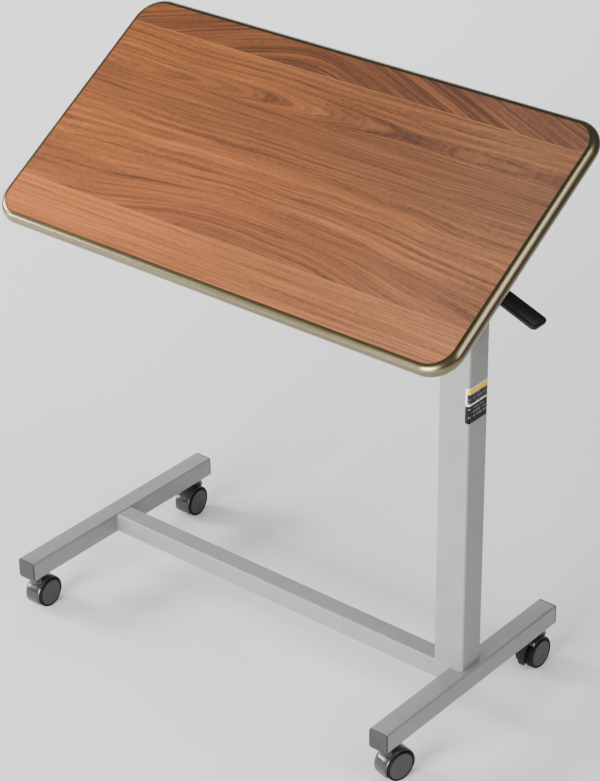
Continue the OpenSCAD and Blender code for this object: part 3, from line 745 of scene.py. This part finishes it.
def caster_wheel(corner, which, hand):
    """Wheel of hard plastic with a softer tread, on the side of its caster that hand gives."""
    hub, tread = 0, 1
    bm = bmesh.new()
    place = Matrix.Translation((0, TRAIL, WHEEL_R)) @ Matrix.Rotation(
        0.0 if hand > 0 else math.pi, 4, "Z")
    zones = [hub] * (len(WHEEL_BORE) - 1) + [tread] * len(WHEEL_TREAD) + [hub] * len(WHEEL_HUB)
    lathe(bm, WHEEL_BORE + WHEEL_TREAD + WHEEL_HUB, 96, place, zones)
    node = f"{corner}_{which}_wheel"
    return make_piece(node + "_moulded", bm, body_of(node),
                      ["caster_wheel", "caster_tread"], (node,), at=caster_matrix(corner))


def round_axle(radius, angle, x=0.0):
    """A point of the caster at a radius from the axle, with its angle from behind, up."""
    a = math.radians(angle)
    return Vector((x, TRAIL + radius * math.cos(a), WHEEL_R + radius * math.sin(a)))


PEDAL_HINGE_R, PEDAL_HINGE_ANGLE = 27.5, 55


def hood_shell(bm, start, stop, steps=44):
    """Barrel-shaped sector round the axle, over both wheels."""
    inner, half, side_r, crown = 23.0, 13.0, 24.1, 1.5
    section = [(inner, -half + 0.3), (inner, half - 0.3)]
    for k in range(33):
        share = math.cos(math.pi * k / 32)
        bulge = math.sqrt(1 - min(1.0, abs(share) ** 3.4))
        section.append((side_r + crown * bulge, half * share))
    rings = [[bm.verts.new(round_axle(r, start + (stop - start) * k / steps, x))
              for r, x in section] for k in range(steps + 1)]
    bridge(bm, rings)
    cap_ends(bm, rings)


def hood_web(bm, start, stop):
    """Wall between the wheels: under the hood's crown, and round the axle below it."""
    outer, inner, half = 24.2, 7.0, 1.6
    outline = [round_axle(outer, start + 3 + (stop - start - 6) * k / 28) for k in range(29)]
    outline += [round_axle(inner, stop + (start + 358 - stop) * k / 20) for k in range(21)]
    turn = Matrix(((0, 0, 1, 0), (1, 0, 0, 0), (0, 1, 0, 0), (0, 0, 0, 1)))
    prism(bm, [(point.y, point.z) for point in outline], -half, half, turn)


def hood_mesh(braked):
    """Caster hood with its web and swivel boss blended into one moulding.
    Behind, it reaches down past the axle, or where braked it stops above the pedal."""
    start = 50 if braked else -22
    stop = 205
    bm = bmesh.new()
    hood_shell(bm, start, stop)
    hood_web(bm, start, stop)
    upright = Matrix.Rotation(math.radians(-90), 4, "Y")
    lathe(bm, [(0, 44.0), (9.6, 44.0), (8.7, 47.5), (8.1, 49.0), (8.0, 53.4), (7.4, 54.4),
               (0, 54.4)], 48, upright)
    if braked:
        for x in (-9.9, 9.9):
            lug = Matrix.Translation(round_axle(PEDAL_HINGE_R, PEDAL_HINGE_ANGLE, x))
            lathe(bm, [(0, -2.5), (3.4, -2.5), (3.4, 2.5), (0, 2.5)], 32, lug)
    scratch = scratch_object("hood_scratch", bm)
    remesh = scratch.modifiers.new("remesh", "REMESH")
    remesh.mode = "VOXEL"
    remesh.voxel_size = 0.45
    smooth = scratch.modifiers.new("smooth", "SMOOTH")
    smooth.factor = 0.5
    smooth.iterations = 4
    decimate = scratch.modifiers.new("decimate", "DECIMATE")
    decimate.ratio = 0.22
    return modified_mesh(scratch)


def caster_hood(corner, mesh):
    """One caster's hood, from the mesh that it shares with its like."""
    bm = bmesh.new()
    bm.from_mesh(mesh)
    node = corner + "_caster_housing"
    return make_piece(node + "_moulded", bm, body_of(node), ["caster_hood"],
                      (node,), smooth_angle=60, at=caster_matrix(corner))


def brake_pedal():
    """Curved pedal that tapers to its tip, with grip ribs and its hinge barrel."""
    bm = bmesh.new()
    half, inner, thick, taper = 7.0, 26.6, 2.5, 0.30
    from_angle, sweep, steps = 52, 74, 28
    rings = []
    for k in range(steps + 1):
        share = k / steps
        ribbed = share > 0.55 and k % 3 == 0 and k < steps - 1
        outer = inner + thick + (0.35 if ribbed else 0.0)
        section = [(inner + 0.5, -half), (inner, -half + 0.6), (inner, half - 0.6),
                   (inner + 0.5, half), (outer - 0.7, half), (outer, half - 0.9),
                   (outer, -half + 0.9), (outer - 0.7, -half)]
        rings.append([bm.verts.new(round_axle(r, from_angle - sweep * share, x * (1 - taper * share)))
                      for r, x in section])
    bridge(bm, rings)
    cap_ends(bm, rings)
    hinge = Matrix.Translation(round_axle(PEDAL_HINGE_R, PEDAL_HINGE_ANGLE))
    lathe(bm, [(1.6, -6.9), (2.7, -6.9), (3.15, -6.4), (3.15, 6.4), (2.7, 6.9), (1.6, 6.9),
               (1.6, -6.9)], 40, hinge)
    bmesh.ops.remove_doubles(bm, verts=bm.verts, dist=1e-4)
    return make_piece("brake_pedal_moulded", bm, "brake_pedal",
                      ["black_plastic"], ("brake_pedal",), at=caster_matrix("rear_right"))


def casters():
    hoods = {braked: hood_mesh(braked) for braked in (False, True)}
    for corner, outer_hand in OUTER_HAND.items():
        caster_hood(corner, hoods[corner == "rear_right"])
        caster_wheel(corner, "outer", outer_hand)
        caster_wheel(corner, "inner", -outer_hand)
    brake_pedal()


# ---------------------------------------------------------------- release lever

def lever_paddle():
    """Flat moulded paddle: rounded rim, sunk upper and lower faces, rounded tip."""
    start, tip = 17.0, 106.6
    half, half_thick = 15.0, 3.0
    tip_r, heel_r = 7.0, 2.0

    def outline(inset):
        s, e, h = start + inset, tip - inset, half - inset
        r = max(1.0, tip_r - inset)
        heel = max(0.6, heel_r - inset)
        return (arc_points(e - r, h - r, r, 90, 0, 8) + arc_points(e - r, r - h, r, 0, -90, 8)
                + arc_points(s + heel, heel - h, heel, -90, -180, 4)
                + arc_points(s + heel, h - heel, heel, 180, 90, 4))

    bm = bmesh.new()
    # Each layer is how far it is drawn in, and its height
    upper = [(0.0, half_thick - 1.4), (0.4, half_thick - 0.5), (1.3, half_thick),
             (3.4, half_thick), (4.2, half_thick - 0.5)]
    layers = [(inset, -z) for inset, z in reversed(upper)] + upper
    rings = [[bm.verts.new((x, y, z)) for x, y in outline(inset)] for inset, z in layers]
    bridge(bm, rings)
    cap_ends(bm, rings)
    return make_piece("release_lever_paddle_moulded", bm, "release_lever",
                      ["black_plastic"], ("release_lever_paddle",), at=AT_LEVER)


# ---------------------------------------------------------------- table top

def edge_moulding():
    """Half-round moulding swept round the board, with its barb in the board's edge."""
    edge_r, barb, barb_half = TOP_T / 2, 9.0, 1.1
    arc = [((EDGE_INSET - edge_r) + edge_r * math.cos(math.radians(a)),
            edge_r * math.sin(math.radians(a))) for a in (-87 + 174 * k / 26 for k in range(27))]
    profile = ([(-barb, -barb_half), (-0.03, -barb_half)] + arc
               + [(-0.03, barb_half), (-barb, barb_half)])
    path = []
    for turn, (sx, sy) in enumerate(((1, 1), (-1, 1), (-1, -1), (1, -1))):
        for k in range(25):
            a = math.radians(90 * turn + 90 * k / 24)
            path.append((sx * (BOARD_W / 2 - BOARD_R), sy * (BOARD_D / 2 - BOARD_R),
                         math.cos(a), math.sin(a)))
    bm = bmesh.new()
    rings = [[bm.verts.new((TOP_X + cx + nx * (BOARD_R + out), cy + ny * (BOARD_R + out),
                            FACE - TOP_T / 2 + z)) for out, z in profile]
             for cx, cy, nx, ny in path]
    bridge(bm, rings, loop=True)
    return make_piece("edge_moulding_swept", bm, "table_top", ["bronze_edge"],
                      ("edge_moulding",), at=AT_TOP, smooth_angle=40)


def screw_mesh():
    """Pan-head screw, pointing up, with a cross recess."""
    bm = bmesh.new()
    lathe(bm, [(0, 16.0), (1.0, 13.5), (2.0, 12.0), (2.05, -3.05), (4.4, -3.05), (4.5, -3.6),
               (4.2, -4.7), (3.2, -5.4), (1.6, -5.65), (0, -5.7)], 32,
          Matrix.Rotation(math.radians(-90), 4, "Y"))
    screw = scratch_object("screw_scratch", bm)
    cross = bmesh.new()
    for turn in (0, 90):
        prism(cross, [(-2.1, -0.45), (2.1, -0.45), (2.1, 0.45), (-2.1, 0.45)], -6.5, -4.2,
              Matrix.Rotation(math.radians(turn), 4, "Z"))
    cutter = scratch_object("cross_scratch", cross)
    recess = screw.modifiers.new("recess", "BOOLEAN")
    recess.object = cutter
    recess.operation = "DIFFERENCE"
    recess.solver = "EXACT"
    recess.use_self = True
    return modified_mesh(screw, cutter)


def bracket_screws():
    """Ten screws up into the board: four for each bracket and two for the clamp."""
    bracket_dx, bracket_dy, clamp_dy, turn = 9, 92, 24, math.radians(37)
    screw = screw_mesh()
    places = [(TOP_X + side * BRACKET_X + sx * bracket_dx, sy * bracket_dy)
              for side in (-1, 1) for sx in (-1, 1) for sy in (-1, 1)]
    places += [(TOP_X + CLAMP_X, sy * clamp_dy) for sy in (-1, 1)]
    every = bmesh.new()
    for k, (x, y) in enumerate(places):
        one = screw.copy()
        one.transform(Matrix.Translation((x, y, FACE - TOP_T)) @ Matrix.Rotation(turn * k, 4, "Z"))
        every.from_mesh(one)
    return make_piece("bracket_screws_heads", every, "table_top", ["zinc_steel"],
                      ("bracket_screws",), at=AT_TOP, smooth_angle=40)


def tilt_lever_grip():
    """Ribbed sleeve with rounded ends on the tilt lever."""
    bm = bmesh.new()
    length, radius, groove, ribs, pitch = 38.0, 8.0, 0.9, 7, 4.0
    profile = [(0, 0), (5.4, 0.0), (7.2, 1.0), (radius, 3.0)]
    for k in range(ribs):
        start = 5.0 + pitch * k
        profile += [(radius, start), (radius - groove, start + 0.7),
                    (radius - groove, start + 1.7), (radius, start + 2.4)]
    profile += [(radius, length - 3.0), (7.2, length - 1.0), (5.4, length), (0, length)]
    on_lever = Matrix.Translation((-82.0, -6.0, 0))
    lathe(bm, profile, 48, on_lever)
    bolt = Vector((TOP_X + CLAMP_X, -9.4, -26.0)) * MM
    at = AT_TOP @ Matrix.Translation(bolt) @ Matrix.Rotation(math.radians(-20), 4, "Y")
    return make_piece("tilt_lever_grip_ribbed", bm, "tilt_lever",
                      ["black_plastic"], ("tilt_lever_grip",), at=at)


# ---------------------------------------------------------------- stage

def floor():
    """Pale matt floor, which isn't part of the table."""
    bm = bmesh.new()
    bmesh.ops.create_grid(bm, x_segments=2, y_segments=2, size=14)
    mesh = bpy.data.meshes.new("floor")
    bm.to_mesh(mesh)
    bm.free()
    g = Graph("floor")
    tone = g.noise(g.object_space, 3.0)
    mesh.materials.append(g.set(
        colour=g.ramp(tone, [(0.0, (0.90, 0.90, 0.90)), (1.0, (0.93, 0.93, 0.93))]),
        roughness=0.9, specular=0.0))
    plane = bpy.data.objects.new("floor", mesh)
    bpy.context.scene.collection.objects.link(plane)


def soft_light(name, position, target, size, watts):
    """Rectangular area light at position, facing target."""
    light = bpy.data.lights.new(name, "AREA")
    light.shape = "RECTANGLE"
    light.size, light.size_y = size
    light.energy = watts
    lamp = bpy.data.objects.new(name, light)
    lamp.location = position
    facing = Vector(target) - Vector(position)
    lamp.rotation_euler = facing.to_track_quat("-Z", "Y").to_euler()
    bpy.context.scene.collection.objects.link(lamp)


def studio_light():
    """A weak even light from all round, a large front light and small ones for the highlights."""
    world = bpy.data.worlds.new("studio")
    world.use_nodes = True
    background = world.node_tree.nodes["Background"]
    background.inputs["Color"].default_value = (1, 1, 1, 1)
    background.inputs["Strength"].default_value = 0.20
    bpy.context.scene.world = world
    soft_light("front_key", (0.0, -4.0, 1.3), (0, 0, 0.45), (2.2, 1.6), 368)
    soft_light("left_fill", (-2.75, -0.85, 1.45), (-0.3, -0.2, 0.1), (0.7, 0.7), 66)
    soft_light("low_glint", (-2.53, -2.07, 0.92), (0.0, -0.18, 0.05), (0.7, 0.7), 48)
    soft_light("right_rim", (2.3, -0.1, 2.5), (0.3, 0, 0.7), (0.7, 2.4), 40)
    soft_light("floor_glow", (-1.9, 2.3, 1.25), (-1.9, 2.3, 0.0), (2.8, 2.8), 52)


def camera():
    """Camera at its place, aimed by azimuth and elevation and rolled a little about its view."""
    place = (1.8608, -2.2156, 2.0236)
    azimuth, elevation, roll = (math.radians(a) for a in (40.04, 29.13, -0.74))
    back = Vector((math.sin(azimuth) * math.cos(elevation),
                   -math.cos(azimuth) * math.cos(elevation), math.sin(elevation)))
    right = Vector((math.cos(azimuth), math.sin(azimuth), 0))
    up = back.cross(right)
    rolled_right = math.cos(roll) * right + math.sin(roll) * up
    rolled_up = -math.sin(roll) * right + math.cos(roll) * up
    rotation = Matrix((rolled_right, rolled_up, back)).transposed().to_4x4()
    data = bpy.data.cameras.new("camera")
    data.sensor_width = 36.0
    data.lens = 113.0
    data.clip_end = 100.0
    view = bpy.data.objects.new("camera", data)
    view.matrix_world = Matrix.Translation(place) @ rotation
    bpy.context.scene.collection.objects.link(view)
    bpy.context.scene.camera = view


# ---------------------------------------------------------------- build

dress_frame()
end_caps()
base_welds()
column_labels()
casters()
lever_paddle()
edge_moulding()
bracket_screws()
tilt_lever_grip()
floor()
studio_light()
camera()
